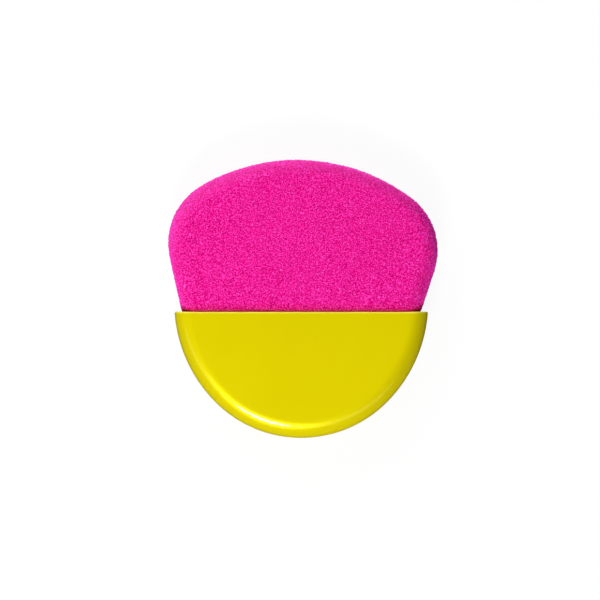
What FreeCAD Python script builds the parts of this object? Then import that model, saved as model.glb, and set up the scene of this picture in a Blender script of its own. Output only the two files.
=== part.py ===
# Half-moon sponge applicator: a foam pad with a domed head, pushed root first into a moulded two-shell grip.
# The part lies on its back: +Z is the front, +Y the way the pad points and pulls out, +X to the right.
# The origin is on the rest plane, under the middle of the part. Sizes are in millimetres.
import FreeCAD, Part
import math
import os

Vector = FreeCAD.Vector

# Grip outline: the lower part of an egg-like oval of tangent arcs, cut straight across at the mouth
GRIP_HALF_WIDTH = 31.0
GRIP_HALF_HEIGHT = 33.1
BASE_ARC_ANGLE = 45.0       # the base arc spans this many degrees to each side
MOUTH_DROP = 2.3            # the mouth lies this far below the oval's centre
GRIP_THICKNESS = 10.0
RIM_BAND = 1.2              # straight band of the rim between its front and rear rounding
WALL = 1.6
MOUTH_EDGE = 0.4            # rounding of the mouth's outer edges

# Seam between the shells: a tongue on the rear shell stands in a groove of the front shell
TONGUE_WIDTH = 0.6
TONGUE_HEIGHT = 0.9
TONGUE_INSET = 1.5          # the tongue stops this far below the mouth
SEAM_PLAY = 0.05            # clearance round the tongue and the pins
SEAM_CHAMFER = 0.15         # fine line that shows where the shells meet

# Posts that hold the shells together: a pin on each front post, a socket in each rear post
POST_RADIUS = 2.5
POST_ROOT = 0.4             # how far a post runs into the rim's wall
POST_ANGLES = (-36.0, 0.0, 36.0)   # along the base arc, from its lowest point
PIN_RADIUS = 1.25
PIN_REACH = 2.2

# Grip ribs inside each shell, which press into the pad's root
RIB_COUNT = 5
RIB_PITCH = 10.0
RIB_WIDTH = 0.9
RIB_HEIGHT = 0.7
RIB_LENGTH = 12.5
RIB_START = 2.2             # below the mouth
RIB_LEAD = 1.6              # sloped end that lets the pad slide in

# Foam pad: dome, shoulders, sides that draw in to the mouth, and a root that fills the pocket
PAD_REACH = 36.9            # top of the dome above the mouth
PAD_HALF_WIDTH = 32.8       # across the shoulders
PAD_THICKNESS = 10.0
PAD_BAND = 1.2              # straight band of the pad's edge between its roundings
SHOULDER_RADIUS = 16.0
SHOULDER_HEIGHT = 15.85     # middle of the shoulder arcs above the mouth
PAD_TILT = 3.15             # the head sits this many degrees clockwise in the grip
PAD_SHIFT = 0.4             # and this far to the right
NECK_ROUND = 0.8            # rounding of the head's edges over the mouth's lips
NECK_SWELL = 0.15           # the head's sides stand this far proud of the root
PAD_CLEARANCE = 0.3         # between the pad and the grip, all round

# Values that follow from the sizes above
grip_depth = GRIP_HALF_HEIGHT - MOUTH_DROP
mouth_y = (grip_depth - PAD_REACH) / 2
centre_y = mouth_y + MOUTH_DROP
seam_z = GRIP_THICKNESS / 2
arc_sin = math.sin(math.radians(BASE_ARC_ANGLE))
arc_cos = math.cos(math.radians(BASE_ARC_ANGLE))
base_radius = (GRIP_HALF_HEIGHT * (1 - arc_sin) - GRIP_HALF_WIDTH * arc_cos) / (1 - arc_cos - arc_sin)
side_radius = (GRIP_HALF_WIDTH - base_radius * arc_sin) / (1 - arc_sin)
base_y = centre_y - GRIP_HALF_HEIGHT + base_radius
rim_radius = (GRIP_THICKNESS - RIM_BAND) / 2
pocket_bevel = rim_radius - WALL
root_inset = WALL + PAD_CLEARANCE
root_bevel = pocket_bevel - (2 - math.sqrt(2)) * PAD_CLEARANCE
neck_y = mouth_y + PAD_CLEARANCE
reach = 2 * (GRIP_HALF_HEIGHT + PAD_REACH)   # longer than the part, for cutting tools


def box(low, high):
    """Upright box between two opposite corners."""
    size = high - low
    return Part.makeBox(size.x, size.y, size.z, low)


def arc(centre, radius, start, end):
    """Arc about a centre between two points on it, the short way round."""
    middle = centre + ((start - centre) + (end - centre)).normalize() * radius
    return Part.Arc(start, middle, end).toShape()


def oval_plate(inset, low, high):
    """Plate of the grip's outline, drawn in by inset and run on past the mouth."""
    run_on = GRIP_THICKNESS
    base = Vector(0, base_y, low)
    sides, tops, joins = {}, {}, {}
    for side in (-1, 1):
        sides[side] = Vector(side * (GRIP_HALF_WIDTH - side_radius), centre_y, low)
        half_width = GRIP_HALF_WIDTH - side_radius + math.sqrt((side_radius - inset) ** 2 - run_on ** 2)
        tops[side] = Vector(side * half_width, centre_y + run_on, low)
        joins[side] = base + Vector(side * arc_sin, -arc_cos, 0) * (base_radius - inset)
    outline = Part.Wire([
        arc(sides[-1], side_radius - inset, tops[-1], joins[-1]),
        arc(base, base_radius - inset, joins[-1], joins[1]),
        arc(sides[1], side_radius - inset, joins[1], tops[1]),
        Part.makeLine(tops[1], tops[-1]),
    ])
    return Part.Face(outline).extrude(Vector(0, 0, high - low))


def rim_edges(plate):
    """Front and rear edges round a plate of the grip's outline, without those past the mouth."""
    return [edge for edge in plate.Edges
            if edge.BoundBox.ZLength < SEAM_PLAY and edge.BoundBox.YMin < centre_y]


def rounded_plate(inset):
    """The grip's outside drawn in by inset on every side, with its rounded rim."""
    plate = oval_plate(inset, inset, GRIP_THICKNESS - inset)
    return plate.makeFillet(rim_radius - inset, rim_edges(plate))


def below(shape, y):
    """The part of a shape on the pocket's side of a plane across the pull direction."""
    return shape.cut(box(Vector(-reach, y, -reach), Vector(reach, y + reach, reach)))


def bevelled_plate(inset, bevel):
    """The grip's outside drawn in by inset on every side, with a bevelled rim."""
    plate = oval_plate(inset, inset, GRIP_THICKNESS - inset)
    return plate.makeChamfer(bevel, rim_edges(plate))


def hollow_half(low, high):
    """One half of the grip between two heights, with the mouth and seam edges broken and the pocket cut out."""
    block = below(rounded_plate(0), mouth_y)
    mouth = [edge for edge in block.Edges if edge.BoundBox.YMin > mouth_y - SEAM_PLAY]
    rounded = block.makeFillet(MOUTH_EDGE, mouth)
    half = rounded.common(box(Vector(-reach, -reach, low), Vector(reach, reach, high)))
    seam = [edge for edge in half.Edges
            if abs(edge.CenterOfMass.z - seam_z) < SEAM_PLAY and edge.BoundBox.ZLength < SEAM_PLAY]
    return half.makeChamfer(SEAM_CHAMFER, seam).cut(bevelled_plate(WALL, pocket_bevel))


def seam_ring(play):
    """The tongue's ring along the middle of the rim's wall, widened by play."""
    low = seam_z - play
    high = seam_z + TONGUE_HEIGHT + play
    outer = oval_plate((WALL - TONGUE_WIDTH) / 2 - play, low, high)
    inner = oval_plate((WALL + TONGUE_WIDTH) / 2 + play, low, high)
    return below(outer.cut(inner), mouth_y - TONGUE_INSET + play)


def post_centres():
    """Where the posts stand, just inside the rim's wall."""
    swing = base_radius - WALL - POST_RADIUS + POST_ROOT
    turns = [math.radians(angle) for angle in POST_ANGLES]
    return [(swing * math.sin(turn), base_y - swing * math.cos(turn)) for turn in turns]


def posts(low, high):
    """The three posts between two heights, their ends sunk to the middle of the grip's wall."""
    columns = [Part.makeCylinder(POST_RADIUS, high - low, Vector(x, y, low)) for x, y in post_centres()]
    return Part.makeCompound(columns).common(rounded_plate(WALL / 2))


def pins(radius, depth):
    """Pins or sockets below the seam, one on each post."""
    return [Part.makeCylinder(radius, depth, Vector(x, y, seam_z - depth)) for x, y in post_centres()]


def rib_places():
    """Middle of each rib across the pocket."""
    return [(i - (RIB_COUNT - 1) / 2) * RIB_PITCH for i in range(RIB_COUNT)]


def rear_rib(x):
    """One rib on the inside of the rear shell, sloped towards the mouth."""
    top = mouth_y - RIB_START
    foot = top - RIB_LENGTH
    crest = WALL + RIB_HEIGHT
    side = x - RIB_WIDTH / 2
    profile = [(top, WALL), (top - RIB_LEAD, crest), (foot, crest), (foot, WALL / 2), (top, WALL / 2)]
    corners = [Vector(side, y, z) for y, z in profile]
    outline = Part.makePolygon(corners + corners[:1])
    return Part.Face(outline).extrude(Vector(RIB_WIDTH, 0, 0))


def rear_groove(x):
    """The channel that a rear rib presses into the pad's root, open at the root's foot."""
    top = mouth_y - RIB_START + PAD_CLEARANCE
    half = RIB_WIDTH / 2 + PAD_CLEARANCE
    return box(Vector(x - half, top - reach, 0), Vector(x + half, top, root_inset + RIB_HEIGHT))


def to_front(shape):
    """The same shape on the front side of the seam."""
    return shape.mirror(Vector(0, 0, seam_z), Vector(0, 0, 1))


def rear_shell():
    """Rear half of the grip: tongue, socket posts and ribs."""
    ribs = [rear_rib(x) for x in rib_places()]
    shell = hollow_half(0, seam_z).fuse([posts(0, seam_z), seam_ring(0)] + ribs)
    return shell.cut(pins(PIN_RADIUS + SEAM_PLAY, PIN_REACH + SEAM_PLAY)).removeSplitter()


def front_shell():
    """Front half of the grip: groove, pin posts and ribs."""
    ribs = [to_front(rear_rib(x)) for x in rib_places()]
    shell = hollow_half(seam_z, GRIP_THICKNESS).cut(seam_ring(SEAM_PLAY))
    return shell.fuse([posts(seam_z, GRIP_THICKNESS)] + ribs + pins(PIN_RADIUS, PIN_REACH)).removeSplitter()


def neck_half_width():
    """Half the width of the pad where it enters the mouth, a little more than its root's."""
    root = GRIP_HALF_WIDTH - side_radius + math.sqrt((side_radius - root_inset) ** 2 - (neck_y - centre_y) ** 2)
    return root + NECK_SWELL


def tangent_point(start, centre, radius, side):
    """Where a line from start touches a circle, on the side away from the pad's middle."""
    line = centre - start
    length = math.sqrt(line.Length ** 2 - radius ** 2)
    turn = math.atan2(line.y, line.x) - side * math.asin(radius / line.Length)
    return start + Vector(math.cos(turn), math.sin(turn), 0) * length


def head_outline(low):
    """Outline of the pad's head in the plane z = low, its sides run on below the mouth."""
    spread = PAD_HALF_WIDTH - SHOULDER_RADIUS
    crown = PAD_REACH - SHOULDER_HEIGHT
    dome_radius = (spread ** 2 + crown ** 2 - SHOULDER_RADIUS ** 2) / (2 * (crown - SHOULDER_RADIUS))
    middle = Vector(PAD_SHIFT, mouth_y + SHOULDER_HEIGHT, low)
    turn = FreeCAD.Rotation(Vector(0, 0, 1), -PAD_TILT)
    dome = middle + turn.multVec(Vector(0, crown - dome_radius, 0))
    shoulders, tops, touches, feet = {}, {}, {}, {}
    for side in (-1, 1):
        shoulders[side] = middle + turn.multVec(Vector(side * spread, 0, 0))
        tops[side] = dome + (shoulders[side] - dome).normalize() * dome_radius
        neck = Vector(side * neck_half_width(), neck_y, low)
        touches[side] = tangent_point(neck, shoulders[side], SHOULDER_RADIUS, side)
        feet[side] = neck + (neck - touches[side]).normalize() * 2 * PAD_THICKNESS
    return Part.Wire([
        Part.makeLine(feet[-1], touches[-1]),
        arc(shoulders[-1], SHOULDER_RADIUS, touches[-1], tops[-1]),
        arc(dome, dome_radius, tops[-1], tops[1]),
        arc(shoulders[1], SHOULDER_RADIUS, tops[1], touches[1]),
        Part.makeLine(touches[1], feet[1]),
        Part.makeLine(feet[1], feet[-1]),
    ])


def neck_cutter(low):
    """Tool that rounds the head's rear edge over the mouth's lip."""
    corner = Vector(-reach, neck_y, low)
    start = corner + Vector(0, 0, NECK_ROUND)
    end = corner + Vector(0, NECK_ROUND, 0)
    centre = start + end - corner
    edges = [arc(centre, NECK_ROUND, start, end), Part.makeLine(end, corner), Part.makeLine(corner, start)]
    return Part.Face(Part.Wire(edges)).extrude(Vector(2 * reach, 0, 0))


def pad_head():
    """Head of the pad above the mouth, with rounded edges and shoulders over the mouth's lips."""
    low = seam_z - PAD_THICKNESS / 2
    plate = Part.Face(head_outline(low)).extrude(Vector(0, 0, PAD_THICKNESS))
    edges = [edge for edge in plate.Edges
             if edge.BoundBox.ZLength < SEAM_PLAY and edge.BoundBox.YMax > neck_y]
    rounded = plate.makeFillet((PAD_THICKNESS - PAD_BAND) / 2, edges)
    head = rounded.cut(box(Vector(-reach, neck_y - reach, -reach), Vector(reach, neck_y, reach)))
    rear_edge = neck_cutter(low)
    return head.cut([rear_edge, to_front(rear_edge)])


def pad_root():
    """Root of the pad in the pocket, notched for the posts and channelled by the ribs."""
    root = below(bevelled_plate(root_inset, root_bevel), neck_y)
    room = POST_RADIUS + PAD_CLEARANCE
    tools = []
    for x, y in post_centres():
        tools.append(Part.makeCylinder(room, GRIP_THICKNESS, Vector(x, y, 0)))
        tools.append(box(Vector(x - room, y - reach, 0), Vector(x + room, y, GRIP_THICKNESS)))
    for x in rib_places():
        tools.extend([rear_groove(x), to_front(rear_groove(x))])
    return root.cut(tools)


def foam_pad():
    """The whole pad, one piece of foam."""
    return pad_head().fuse(pad_root()).removeSplitter()


def main():
    os.makedirs("parts", exist_ok=True)
    nodes = {"front_shell": front_shell, "rear_shell": rear_shell, "foam_pad": foam_pad}
    for name, make in nodes.items():
        shape = make()
        solid = shape.Solids[0] if len(shape.Solids) == 1 else shape
        solid.exportStep(f"parts/{name}.step")
        print(name, "solids", len(shape.Solids), "valid", shape.isValid(), "mm3", round(shape.Volume, 1))


main()
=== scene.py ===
import math

import bmesh
import bpy
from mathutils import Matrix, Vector


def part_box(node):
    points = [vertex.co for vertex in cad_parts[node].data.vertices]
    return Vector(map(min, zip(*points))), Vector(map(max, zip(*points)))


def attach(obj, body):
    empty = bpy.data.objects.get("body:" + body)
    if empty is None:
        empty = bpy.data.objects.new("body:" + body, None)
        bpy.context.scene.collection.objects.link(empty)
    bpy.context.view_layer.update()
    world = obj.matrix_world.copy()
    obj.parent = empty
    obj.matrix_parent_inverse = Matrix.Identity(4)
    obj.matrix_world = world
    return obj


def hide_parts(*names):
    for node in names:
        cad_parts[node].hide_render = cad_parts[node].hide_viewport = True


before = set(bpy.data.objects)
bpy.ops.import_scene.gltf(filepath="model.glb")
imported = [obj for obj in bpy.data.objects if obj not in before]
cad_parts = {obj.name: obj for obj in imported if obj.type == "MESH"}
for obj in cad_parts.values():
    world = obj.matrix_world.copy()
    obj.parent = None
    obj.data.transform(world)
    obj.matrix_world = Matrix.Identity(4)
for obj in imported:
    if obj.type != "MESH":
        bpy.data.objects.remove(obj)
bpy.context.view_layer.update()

# Sponge applicator: a fine-cell foam pad held in a two-part moulded grip, on a white studio floor.
# Lengths are in metres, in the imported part's frame: +X right, +Y towards the pad's dome, +Z up.

# Camera, straight above the part
CAMERA_DISTANCE = 0.8
CAMERA_AIM = Vector((-0.0003, -0.0002, 0.005))
SENSOR_WIDTH_MM = 36.0
FIELD_WIDTH = 0.1465

# Studio lamps: direction from the part, distance, width and height, power in watts, shape of the softbox,
# and whether it counts in matt surfaces and in gloss
STUDIO_LAMPS = {
    "key_light": {
        "direction": (-0.14, -0.753, 0.643), "distance": 0.45, "size": (0.14, 0.10), "power": 1.42,
        "shape": "RECTANGLE", "in_matt": True, "in_gloss": False,
    },
    "gleam_light": {
        "direction": (-0.243, -0.638, 0.731), "distance": 0.45, "size": (0.16, 0.13), "power": 3.5,
        "shape": "ELLIPSE", "in_matt": False, "in_gloss": True,
    },
    "strip_light": {
        "direction": (-0.165, -0.662, 0.731), "distance": 0.47, "size": (1.30, 0.17), "power": 0.86,
        "shape": "RECTANGLE", "in_matt": True, "in_gloss": True,
    },
    "fill_light": {
        "direction": (-0.55, 0.65, 0.52), "distance": 0.33, "size": (0.30, 0.10), "power": 0.47,
        "shape": "RECTANGLE", "in_matt": True, "in_gloss": False,
    },
    "edge_light": {
        "direction": (-0.03, 0.970, 0.242), "distance": 0.7, "size": (0.50, 0.12), "power": 3.5,
        "shape": "RECTANGLE", "in_matt": True, "in_gloss": False,
    },
}

# Studio floor and surround
SURROUND_GLOW = 0.18
SURROUND_GLOW_IN_GLOSS = 0.02
FLOOR_HALF_SIDE = 2.0
FLOOR_DROP = 0.0005
FLOOR_GLOW = 0.92
FLOOR_GLOW_IN_GLOSS = 0.005
WHITE_STRENGTH = 1.0

# Grip: joining the frame's triangles, and the fold that still counts as one smooth surface
MERGE_GAP = 2e-6
SMOOTH_FOLD = math.radians(28)

# Grip: drift of the moulded colour, marks of handling, waves in the skin, gloss, and a painted highlight
# along the lip
GRIP_FLOW = {"Scale": 70.0, "Detail": 2.0}
GRIP_HANDLING = {"Scale": 420.0, "Detail": 4.0}
SKIN_WAVE_HEIGHT = 0.000004
SKIN_WAVE_STRENGTH = 0.5
GRIP_ROUGHNESS = 0.29
GRIP_ROUGHNESS_SPREAD = 0.05
GRIP_IOR = 1.59
GRIP_SPECULAR = 1.0
GRIP_COAT = 0.3
GRIP_COAT_ROUGHNESS = 0.1
LIP_HIGHLIGHT_WIDTH = 0.0005
LIP_HIGHLIGHT_LEAST = 0.7
LIP_HIGHLIGHT_SPREAD = 0.3

# Foam: face size of its even skin, and the forms of its cut surface
FOAM_FACE = 0.00031
FOAM_EASING = 0.5
FOAM_EASING_ROUNDS = 4
FOAM_CELL = 0.00045
FOAM_PIT_DEPTH = 0.00030
FOAM_GRAIN = 0.00026
FOAM_GRAIN_HEIGHT = 0.00070
FOAM_GRAIN_DETAIL = 2.0
FOAM_LUMP = 0.007
FOAM_LUMP_HEIGHT = 0.00020
FOAM_LUMP_DETAIL = 1.0
FOAM_CROWN = 0.00010
FOAM_SEED = 3.7

# Middle of the noise and of the cells' pattern, so that forms go inwards and outwards alike
NOISE_MIDDLE = 0.5
CELL_MIDDLE = 0.45

# Foam: how calm its root is, and how the head's underside swells over the lip
FOAM_ROOT_SHARE = 0.2
FOAM_NECK = 0.0002
FOAM_SWELL = 0.00027
FOAM_SWELL_INSET = 0.0013
FOAM_SWELL_FADE = 0.0004
UNDERSIDE_START = 0.5
UNDERSIDE_FULL = 0.9

# Foam: painted sheen on the edge facing the dome and left, masked by the way its surface faces
EDGE_SHEEN_ACROSS = -0.5
EDGE_SHEEN_ALONG = 0.87
EDGE_SHEEN_FULL = 0.85

# Foam: tone of the grain, pores and dye, painted glints of cut cells, painted shade at the foot by the lip,
# relief and sheen
FOAM_GRAIN_TONE = 3.6
FOAM_GRAIN_TONE_DETAIL = 1.0
FOAM_PORE_TONE = 0.7
FOAM_DYE_TONE = 0.08
FOAM_DYE = {"Scale": 110.0, "Detail": 3.0}
FOAM_GLINT_SCALE = 4200.0
FOAM_GLINT_CUT = 0.998
FOAM_GLINT_SHARE = 0.7
FOAM_LIP_SHADE_HEIGHT = 0.0020
FOAM_CREASE_SHADE_HEIGHT = 0.0006
FOAM_CREASE_SHADE_SPREAD = 3.0
FOAM_RELIEF_HEIGHT = 0.0001
FOAM_RELIEF_STRENGTH = 0.5
FOAM_ROUGHNESS = 0.95
FOAM_PORE_GLOSS = 0.1
FOAM_DIFFUSE_ROUGHNESS = 1.0
FOAM_SPECULAR = 0.02
FOAM_SHEEN = 0.36
FOAM_SHEEN_ROUGHNESS = 0.5

# Curve of a screen's colours: a straight start, then a power
SCREEN_FULL = 255
CURVE_START = 0.04045
CURVE_SLOPE = 12.92
CURVE_OFFSET = 0.055
CURVE_POWER = 2.4

# Sockets of a Mix node that mixes colours
MIX_SHARE, MIX_FIRST, MIX_SECOND = 0, 6, 7
MIX_RESULT = 2


def linear(red, green, blue):
    """A colour on the 0 to 255 screen scale as linear light, with full alpha."""
    def level(value):
        share = value / SCREEN_FULL
        if share <= CURVE_START:
            return share / CURVE_SLOPE
        return ((share + CURVE_OFFSET) / (1 + CURVE_OFFSET)) ** CURVE_POWER
    return (level(red), level(green), level(blue), 1.0)


# Finishes
GRIP_YELLOW = linear(222, 206, 1)
GRIP_DEEP_YELLOW = linear(215, 198, 0)
GRIP_PAINTED_LIP_HIGHLIGHT = linear(255, 247, 96)
GRIP_GLEAM = (1.0, 0.93, 0.01, 1.0)
FOAM_PINK = linear(244, 0, 150)
FOAM_PIT = linear(198, 0, 106)
FOAM_BRIGHT = linear(255, 74, 204)
FOAM_TONES = ((0.05, FOAM_PIT), (0.5, FOAM_PINK), (0.62, FOAM_PINK), (0.98, FOAM_BRIGHT))
FOAM_PAINTED_GLINT = linear(255, 140, 248)
FOAM_PAINTED_EDGE_SHEEN = (0.08, 0.03, 0.10, 1.0)
FOAM_PAINTED_LIP_SHADE = (0.82, 1.0, 0.4, 1.0)
FOAM_PAINTED_CREASE_SHADE = (0.85, 1.0, 0.75, 1.0)
FOAM_BLOOM = (0.45, 0.16, 1.0, 1.0)
STUDIO_WHITE = (1.0, 1.0, 1.0, 1.0)
FLOOR_GREY = (0.45, 0.45, 0.45, 1.0)
FLOOR_DARK = (0.006, 0.006, 0.006, 1.0)


class Value:
    """A number on a node's socket. Arithmetic on it adds Math nodes to the same tree."""

    def __init__(self, graph, socket):
        self.graph = graph
        self.socket = socket

    def math(self, operation, first, second):
        return self.graph.node("ShaderNodeMath", {0: first, 1: second}, operation=operation)

    def __add__(self, other):
        return self.math("ADD", self, other)

    def __sub__(self, other):
        return self.math("SUBTRACT", self, other)

    def __rsub__(self, other):
        return self.math("SUBTRACT", other, self)

    def __mul__(self, other):
        return self.math("MULTIPLY", self, other)

    def __truediv__(self, other):
        return self.math("DIVIDE", self, other)

    def __rtruediv__(self, other):
        return self.math("DIVIDE", other, self)

    __radd__ = __add__
    __rmul__ = __mul__


class Graph:
    """Adds nodes to one node tree, of a material, the world or a shape."""

    def __init__(self, tree):
        self.tree = tree

    def node(self, kind, inputs=None, output=0, stops=None, **settings):
        """One node: its settings first, then its sockets' values or links. Gives one of its outputs."""
        made = self.tree.nodes.new(kind)
        for name, value in settings.items():
            setattr(made, name, value)
        if stops:
            self.set_stops(made.color_ramp.elements, stops)
        for key, value in (inputs or {}).items():
            if isinstance(value, Value):
                self.tree.links.new(value.socket, made.inputs[key])
            else:
                made.inputs[key].default_value = value
        return Value(self, made.outputs[output]) if made.outputs else None

    @staticmethod
    def set_stops(elements, stops):
        while len(elements) < len(stops):
            elements.new(1.0)
        for element, (position, colour) in zip(elements, stops):
            element.position = position
            element.color = colour

    def mix(self, share, first, second, **settings):
        """A colour changed towards, or by, a second one."""
        return self.node(
            "ShaderNodeMix", {MIX_SHARE: share, MIX_FIRST: first, MIX_SECOND: second},
            output=MIX_RESULT, data_type="RGBA", **settings)

    def fade_in(self, value, start, full, smooth=False):
        """Zero where a value is at start and one where it is at full."""
        return self.node(
            "ShaderNodeMapRange", {"Value": value, "From Min": start, "From Max": full},
            interpolation_type="SMOOTHSTEP" if smooth else "LINEAR")

    def axis(self, vector, name):
        """One axis of a place or a direction."""
        return self.node("ShaderNodeSeparateXYZ", {0: vector}, output=name)


def ray_kinds(graph):
    """Whether a ray comes from the camera, from gloss or through something clear."""
    kinds = ("Is Camera Ray", "Is Glossy Ray", "Is Transmission Ray")
    return [graph.node("ShaderNodeLightPath", output=kind) for kind in kinds]


def new_material(name):
    """An empty node material and its graph."""
    material = bpy.data.materials.new(name)
    material.use_nodes = True
    material.node_tree.nodes.clear()
    return material, Graph(material.node_tree)


def mouth_line():
    """Where the grip ends and the pad's head begins, along Y."""
    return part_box("front_shell")[1].y


def grip_finish():
    """Glossy moulded plastic: a slow drift of colour, faint waves, and a painted highlight, the mouth's lip
    painted paler.
    """
    material, graph = new_material("grip_gloss_yellow")
    place = graph.node("ShaderNodeTexCoord", output="Object")
    flow = graph.node("ShaderNodeTexNoise", {"Vector": place, **GRIP_FLOW})
    handling = graph.node("ShaderNodeTexNoise", {"Vector": place, **GRIP_HANDLING})
    colour = graph.mix(flow, GRIP_DEEP_YELLOW, GRIP_YELLOW)
    mouth = mouth_line()
    # Painted highlight: the lip's last half millimetre is painted pale yellow, patchy by the handling noise
    lip_highlight = graph.fade_in(graph.axis(place, "Y"), mouth - LIP_HIGHLIGHT_WIDTH, mouth)
    colour = graph.mix(lip_highlight * (LIP_HIGHLIGHT_LEAST + LIP_HIGHLIGHT_SPREAD * handling), colour, GRIP_PAINTED_LIP_HIGHLIGHT)
    waves = graph.node(
        "ShaderNodeBump", {"Height": flow, "Strength": SKIN_WAVE_STRENGTH, "Distance": SKIN_WAVE_HEIGHT})
    surface = graph.node("ShaderNodeBsdfPrincipled", {
        "Base Color": colour,
        "Roughness": GRIP_ROUGHNESS + GRIP_ROUGHNESS_SPREAD * handling,
        "Normal": waves,
        "IOR": GRIP_IOR,
        "Specular IOR Level": GRIP_SPECULAR,
        "Specular Tint": GRIP_GLEAM,
        "Coat Weight": GRIP_COAT,
        "Coat Roughness": GRIP_COAT_ROUGHNESS,
    })
    graph.node("ShaderNodeOutputMaterial", {"Surface": surface})
    return material


def foam_finish():
    """Dyed fine-cell foam: deep colour in the pits, pale tips, and a few painted glints, cut cells painted
    pale as if catching the light.

    The edge facing the dome and left is painted paler, a painted sheen, and the foot is painted deeper, a
    painted shade where the lip shadows it.
    """
    material, graph = new_material("foam_pink")
    place = graph.node("ShaderNodeTexCoord", output="Object")
    grain = graph.node(
        "ShaderNodeTexNoise",
        {"Vector": place, "Scale": 1 / FOAM_GRAIN, "Detail": FOAM_GRAIN_TONE_DETAIL})
    pores = graph.node("ShaderNodeTexVoronoi", {"Vector": place, "Scale": 1 / FOAM_CELL}, output="Distance")
    dye = graph.node("ShaderNodeTexNoise", {"Vector": place, **FOAM_DYE})
    tone = (NOISE_MIDDLE + FOAM_GRAIN_TONE * (grain - NOISE_MIDDLE)
            + FOAM_PORE_TONE * (pores - CELL_MIDDLE) + FOAM_DYE_TONE * (dye - NOISE_MIDDLE))
    colour = graph.node("ShaderNodeValToRGB", {0: tone}, stops=FOAM_TONES)

    # Painted glints: a few tiny cells painted pale pink-white, as cut cells catching the light
    scatter = graph.node("ShaderNodeTexVoronoi", {"Vector": place, "Scale": FOAM_GLINT_SCALE}, output="Color")
    pick = graph.node("ShaderNodeSeparateColor", {0: scatter}, output="Red")
    glint = graph.node("ShaderNodeMath", {0: pick, 1: FOAM_GLINT_CUT}, operation="GREATER_THAN")
    colour = graph.mix(FOAM_GLINT_SHARE * glint, colour, FOAM_PAINTED_GLINT)
    # Painted sheen: a pale tint added to the colour where the edge faces the dome and left
    painted_edge_sheen = graph.node("ShaderNodeAttribute", output="Fac", attribute_name="painted_edge_sheen")
    colour = graph.mix(painted_edge_sheen, colour, FOAM_PAINTED_EDGE_SHEEN, blend_type="ADD", clamp_result=True)

    reach = graph.axis(place, "Y")
    mouth = mouth_line()
    # Painted shade: the foam just above the lip painted deeper and redder, and a patchy dark band right at
    # the lip, where the lip shadows it
    lip_shade = graph.fade_in(reach, mouth + FOAM_LIP_SHADE_HEIGHT, mouth)
    neck = graph.fade_in(reach, mouth - FOAM_LIP_SHADE_HEIGHT, mouth)
    colour = graph.mix(lip_shade * neck, colour, FOAM_PAINTED_LIP_SHADE, blend_type="MULTIPLY")
    crease_shade = graph.fade_in(reach, mouth + FOAM_CREASE_SHADE_HEIGHT, mouth, smooth=True)
    patchy_shade = 1 + FOAM_CREASE_SHADE_SPREAD * (dye - NOISE_MIDDLE)
    colour = graph.mix(crease_shade * neck * patchy_shade, colour, FOAM_PAINTED_CREASE_SHADE, blend_type="MULTIPLY")

    relief = graph.node(
        "ShaderNodeBump", {"Height": pores, "Strength": FOAM_RELIEF_STRENGTH, "Distance": FOAM_RELIEF_HEIGHT})
    surface = graph.node("ShaderNodeBsdfPrincipled", {
        "Base Color": colour,
        "Roughness": FOAM_ROUGHNESS - FOAM_PORE_GLOSS * pores,
        "Diffuse Roughness": FOAM_DIFFUSE_ROUGHNESS,
        "Specular IOR Level": FOAM_SPECULAR,
        "Sheen Weight": FOAM_SHEEN,
        "Sheen Roughness": FOAM_SHEEN_ROUGHNESS,
        "Sheen Tint": FOAM_BLOOM,
        "Normal": relief,
    })
    graph.node("ShaderNodeOutputMaterial", {"Surface": surface})
    return material


def floor_finish():
    """Pale floor that shows as white, counts for little in gloss, and still takes the part's shadow."""
    material, graph = new_material("studio_floor")
    camera, glossy, clear = ray_kinds(graph)
    tone = graph.mix(camera, FLOOR_GREY, STUDIO_WHITE)
    tone = graph.mix(glossy, tone, FLOOR_DARK)
    matt = graph.node("ShaderNodeBsdfDiffuse", {"Color": tone})
    glow = graph.node("ShaderNodeEmission", {"Color": STUDIO_WHITE, "Strength": WHITE_STRENGTH})
    share = FLOOR_GLOW * (camera + clear) + FLOOR_GLOW_IN_GLOSS * glossy
    surface = graph.node("ShaderNodeMixShader", {0: share, 1: matt, 2: glow})
    graph.node("ShaderNodeOutputMaterial", {"Surface": surface})
    return material


def new_object(name, data):
    """An object in the scene, at the origin."""
    made = bpy.data.objects.new(name, data)
    bpy.context.scene.collection.objects.link(made)
    return made


def merged_mesh(node_name):
    """The frame's surface of one node as a joined mesh, smooth apart from its sharp folds."""
    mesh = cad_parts[node_name].data.copy()
    mesh.materials.clear()
    work = bmesh.new()
    work.from_mesh(mesh)
    bmesh.ops.remove_doubles(work, verts=work.verts, dist=MERGE_GAP)
    for face in work.faces:
        face.smooth = True
    for edge in work.edges:
        edge.smooth = edge.calc_face_angle(math.pi) < SMOOTH_FOLD
    work.to_mesh(mesh)
    work.free()
    return mesh


def settle(piece):
    """Turns a piece's modifiers into its plain mesh."""
    evaluated = piece.evaluated_get(bpy.context.evaluated_depsgraph_get())
    mesh = bpy.data.meshes.new_from_object(evaluated)
    piece.modifiers.clear()
    piece.data = mesh


def grip_shell(node_name, finish):
    """One moulded half of the grip, with the rounding of its rim shaded by the area of its faces."""
    piece = new_object(node_name + "_gloss", merged_mesh(node_name))
    piece.data.materials.append(finish)
    shading = piece.modifiers.new("rim_shading", "WEIGHTED_NORMAL")
    shading.keep_sharp = True
    settle(piece)
    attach(piece, "grip")
    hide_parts(node_name)


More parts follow.
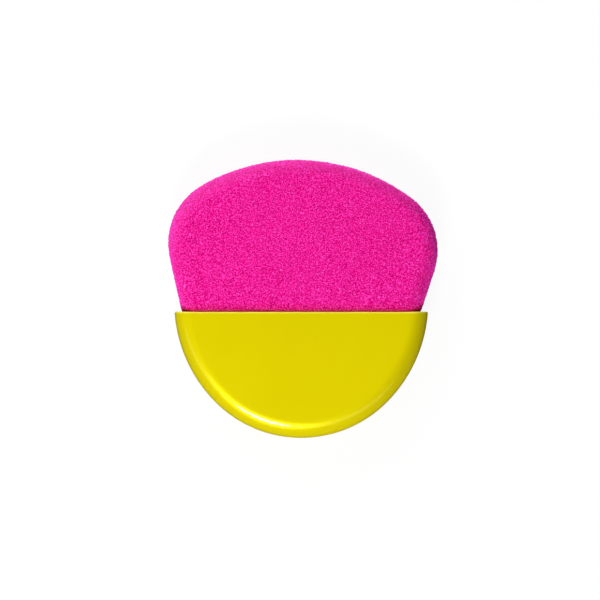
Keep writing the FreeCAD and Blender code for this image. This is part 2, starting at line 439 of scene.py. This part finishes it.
def foam_sizes():
    """The sizes of the foam's cut surface, by the names of the node tree's inputs."""
    low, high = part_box("foam_pad")
    mouth = mouth_line()
    return {
        "Cell": FOAM_CELL,
        "Pit depth": FOAM_PIT_DEPTH,
        "Grain": FOAM_GRAIN,
        "Grain height": FOAM_GRAIN_HEIGHT,
        "Lump": FOAM_LUMP,
        "Lump height": FOAM_LUMP_HEIGHT,
        "Crown": FOAM_CROWN,
        "Half width": (high.x - low.x) / 2,
        "Half length": (high.y - mouth) / 2,
        "Middle": (high.y + mouth) / 2,
        "Mouth": mouth + FOAM_NECK,
        "Mid height": (high.z + low.z) / 2,
        "Swell": FOAM_SWELL,
        "Swell start": (high.z - low.z) / 2 - FOAM_SWELL_INSET,
        "Swell fade": FOAM_SWELL_FADE,
        "Root share": FOAM_ROOT_SHARE,
        "Seed": FOAM_SEED,
    }


def foam_surface_tree(finish, size_names):
    """Node tree that cuts open cells, grain and soft lumps into a plain foam form.

    It also crowns the faces, swells the head's underside over the lip, and stores the mask of the painted
    sheen on the edge facing the dome.
    """
    tree = bpy.data.node_groups.new("foam_cut_surface", "GeometryNodeTree")
    tree.interface.new_socket("Geometry", in_out="INPUT", socket_type="NodeSocketGeometry")
    tree.interface.new_socket("Geometry", in_out="OUTPUT", socket_type="NodeSocketGeometry")
    for name in size_names:
        tree.interface.new_socket(name, in_out="INPUT", socket_type="NodeSocketFloat")
    graph = Graph(tree)
    given = graph.node("NodeGroupInput").socket.node
    size = {name: Value(graph, given.outputs[name]) for name in ("Geometry", *size_names)}

    place = graph.node("GeometryNodeInputPosition")
    cells = graph.node(
        "ShaderNodeTexVoronoi", {"Vector": place, "W": size["Seed"], "Scale": 1 / size["Cell"]},
        output="Distance", voronoi_dimensions="4D")
    grain = graph.node(
        "ShaderNodeTexNoise",
        {"Vector": place, "W": size["Seed"], "Scale": 1 / size["Grain"], "Detail": FOAM_GRAIN_DETAIL},
        noise_dimensions="4D")
    lumps = graph.node(
        "ShaderNodeTexNoise",
        {"Vector": place, "W": size["Seed"], "Scale": 1 / size["Lump"], "Detail": FOAM_LUMP_DETAIL},
        noise_dimensions="4D")

    across = graph.axis(place, "X") / size["Half width"]
    reach = graph.axis(place, "Y")
    along = (reach - size["Middle"]) / size["Half length"]
    height = graph.axis(place, "Z") - size["Mid height"]
    off_middle = graph.node("ShaderNodeMath", {0: height}, operation="ABSOLUTE")
    normal = graph.node("GeometryNodeInputNormal")
    sideways = graph.axis(normal, "X")
    domeward = graph.axis(normal, "Y")
    facing = graph.axis(normal, "Z")

    head = graph.node("ShaderNodeMath", {0: reach, 1: size["Mouth"]}, operation="GREATER_THAN")
    under = head * graph.fade_in(-1 * domeward, UNDERSIDE_START, UNDERSIDE_FULL, smooth=True)
    over_lip = graph.fade_in(
        off_middle, size["Swell start"], size["Swell start"] + size["Swell fade"], smooth=True)
    dome = graph.node("ShaderNodeMath", {0: 1 - across * across - along * along, 1: 0.0}, operation="MAXIMUM")
    share = (size["Root share"] + (1 - size["Root share"]) * head) * (1 - under)
    relief = (size["Pit depth"] * (cells - CELL_MIDDLE) + size["Grain height"] * (grain - NOISE_MIDDLE)
              + size["Lump height"] * (lumps - NOISE_MIDDLE))
    rise = share * relief + size["Crown"] * dome * facing * facing + size["Swell"] * under * over_lip
    offset = graph.node("ShaderNodeVectorMath", {0: normal, "Scale": rise}, operation="SCALE")

    # Painted sheen: mask of the edge facing the dome and left, by the direction of the surface
    painted_edge_sheen = graph.fade_in(EDGE_SHEEN_ALONG * domeward + EDGE_SHEEN_ACROSS * sideways, 0.0, EDGE_SHEEN_FULL, smooth=True)
    marked = graph.node(
        "GeometryNodeStoreNamedAttribute",
        {"Geometry": size["Geometry"], "Name": "painted_edge_sheen", "Value": painted_edge_sheen},
        data_type="FLOAT", domain="POINT")
    moved = graph.node("GeometryNodeSetPosition", {"Geometry": marked, "Offset": offset})
    whole = graph.node("GeometryNodeRealizeInstances", {"Geometry": moved})
    dressed = graph.node("GeometryNodeSetMaterial", {"Geometry": whole, "Material": finish})
    graph.node("NodeGroupOutput", {"Geometry": dressed})
    return tree


def foam_pad(finish):
    """The pad: the frame's soft form on an even skin of small faces, with its cut foam surface."""
    piece = new_object("foam_pad_soft", merged_mesh("foam_pad"))
    skin = piece.modifiers.new("even_skin", "REMESH")
    skin.mode = "VOXEL"
    skin.voxel_size = FOAM_FACE
    skin.use_smooth_shade = True
    ease = piece.modifiers.new("eased_steps", "SMOOTH")
    ease.factor = FOAM_EASING
    ease.iterations = FOAM_EASING_ROUNDS
    sizes = foam_sizes()
    cut = piece.modifiers.new("cut_surface", "NODES")
    cut.node_group = foam_surface_tree(finish, sizes)
    for socket in cut.node_group.interface.items_tree:
        if socket.name in sizes:
            cut[socket.identifier] = sizes[socket.name]
    settle(piece)
    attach(piece, "pad")
    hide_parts("foam_pad")


def studio_floor():
    """A wide white floor just under the part."""
    mesh = bpy.data.meshes.new("studio_floor")
    corners = [(x * FLOOR_HALF_SIDE, y * FLOOR_HALF_SIDE, -FLOOR_DROP)
               for x, y in ((-1, -1), (1, -1), (1, 1), (-1, 1))]
    mesh.from_pydata(corners, [], [(0, 1, 2, 3)])
    mesh.materials.append(floor_finish())
    floor = new_object("studio_floor", mesh)


def studio_surround():
    """A dim, even surround that shows as white behind the part and counts for little in gloss."""
    world = bpy.data.worlds.new("studio_surround")
    world.use_nodes = True
    world.node_tree.nodes.clear()
    graph = Graph(world.node_tree)
    camera, glossy, clear = ray_kinds(graph)
    level = (camera + clear + SURROUND_GLOW_IN_GLOSS * glossy
             + SURROUND_GLOW * (1 - camera) * (1 - clear) * (1 - glossy))
    glow = graph.node("ShaderNodeBackground", {"Color": STUDIO_WHITE, "Strength": level})
    graph.node("ShaderNodeOutputWorld", {"Surface": glow})
    bpy.context.scene.world = world


def softbox(name, lamp):
    """A soft area lamp that faces the part."""
    light = bpy.data.lights.new(name, "AREA")
    light.shape = lamp["shape"]
    light.size, light.size_y = lamp["size"]
    light.energy = lamp["power"]
    made = new_object(name, light)
    direction = Vector(lamp["direction"]).normalized()
    made.location = direction * lamp["distance"]
    made.rotation_euler = direction.to_track_quat("Z", "Y").to_euler()
    made.visible_diffuse = lamp["in_matt"]
    made.visible_glossy = lamp["in_gloss"]


def photo_camera():
    """The camera, looking straight down on the part with its dome at the top."""
    camera = bpy.data.cameras.new("photo_camera")
    camera.sensor_width = SENSOR_WIDTH_MM
    camera.lens = SENSOR_WIDTH_MM * CAMERA_DISTANCE / FIELD_WIDTH
    made = new_object("photo_camera", camera)
    made.location = CAMERA_AIM + Vector((0.0, 0.0, CAMERA_DISTANCE))
    bpy.context.scene.camera = made


bpy.context.scene.view_settings.view_transform = "Standard"
photo_camera()
for lamp_name, studio_lamp in STUDIO_LAMPS.items():
    softbox(lamp_name, studio_lamp)
studio_surround()
studio_floor()

gloss_yellow = grip_finish()
for shell in ("front_shell", "rear_shell"):
    grip_shell(shell, gloss_yellow)
foam_pad(foam_finish())
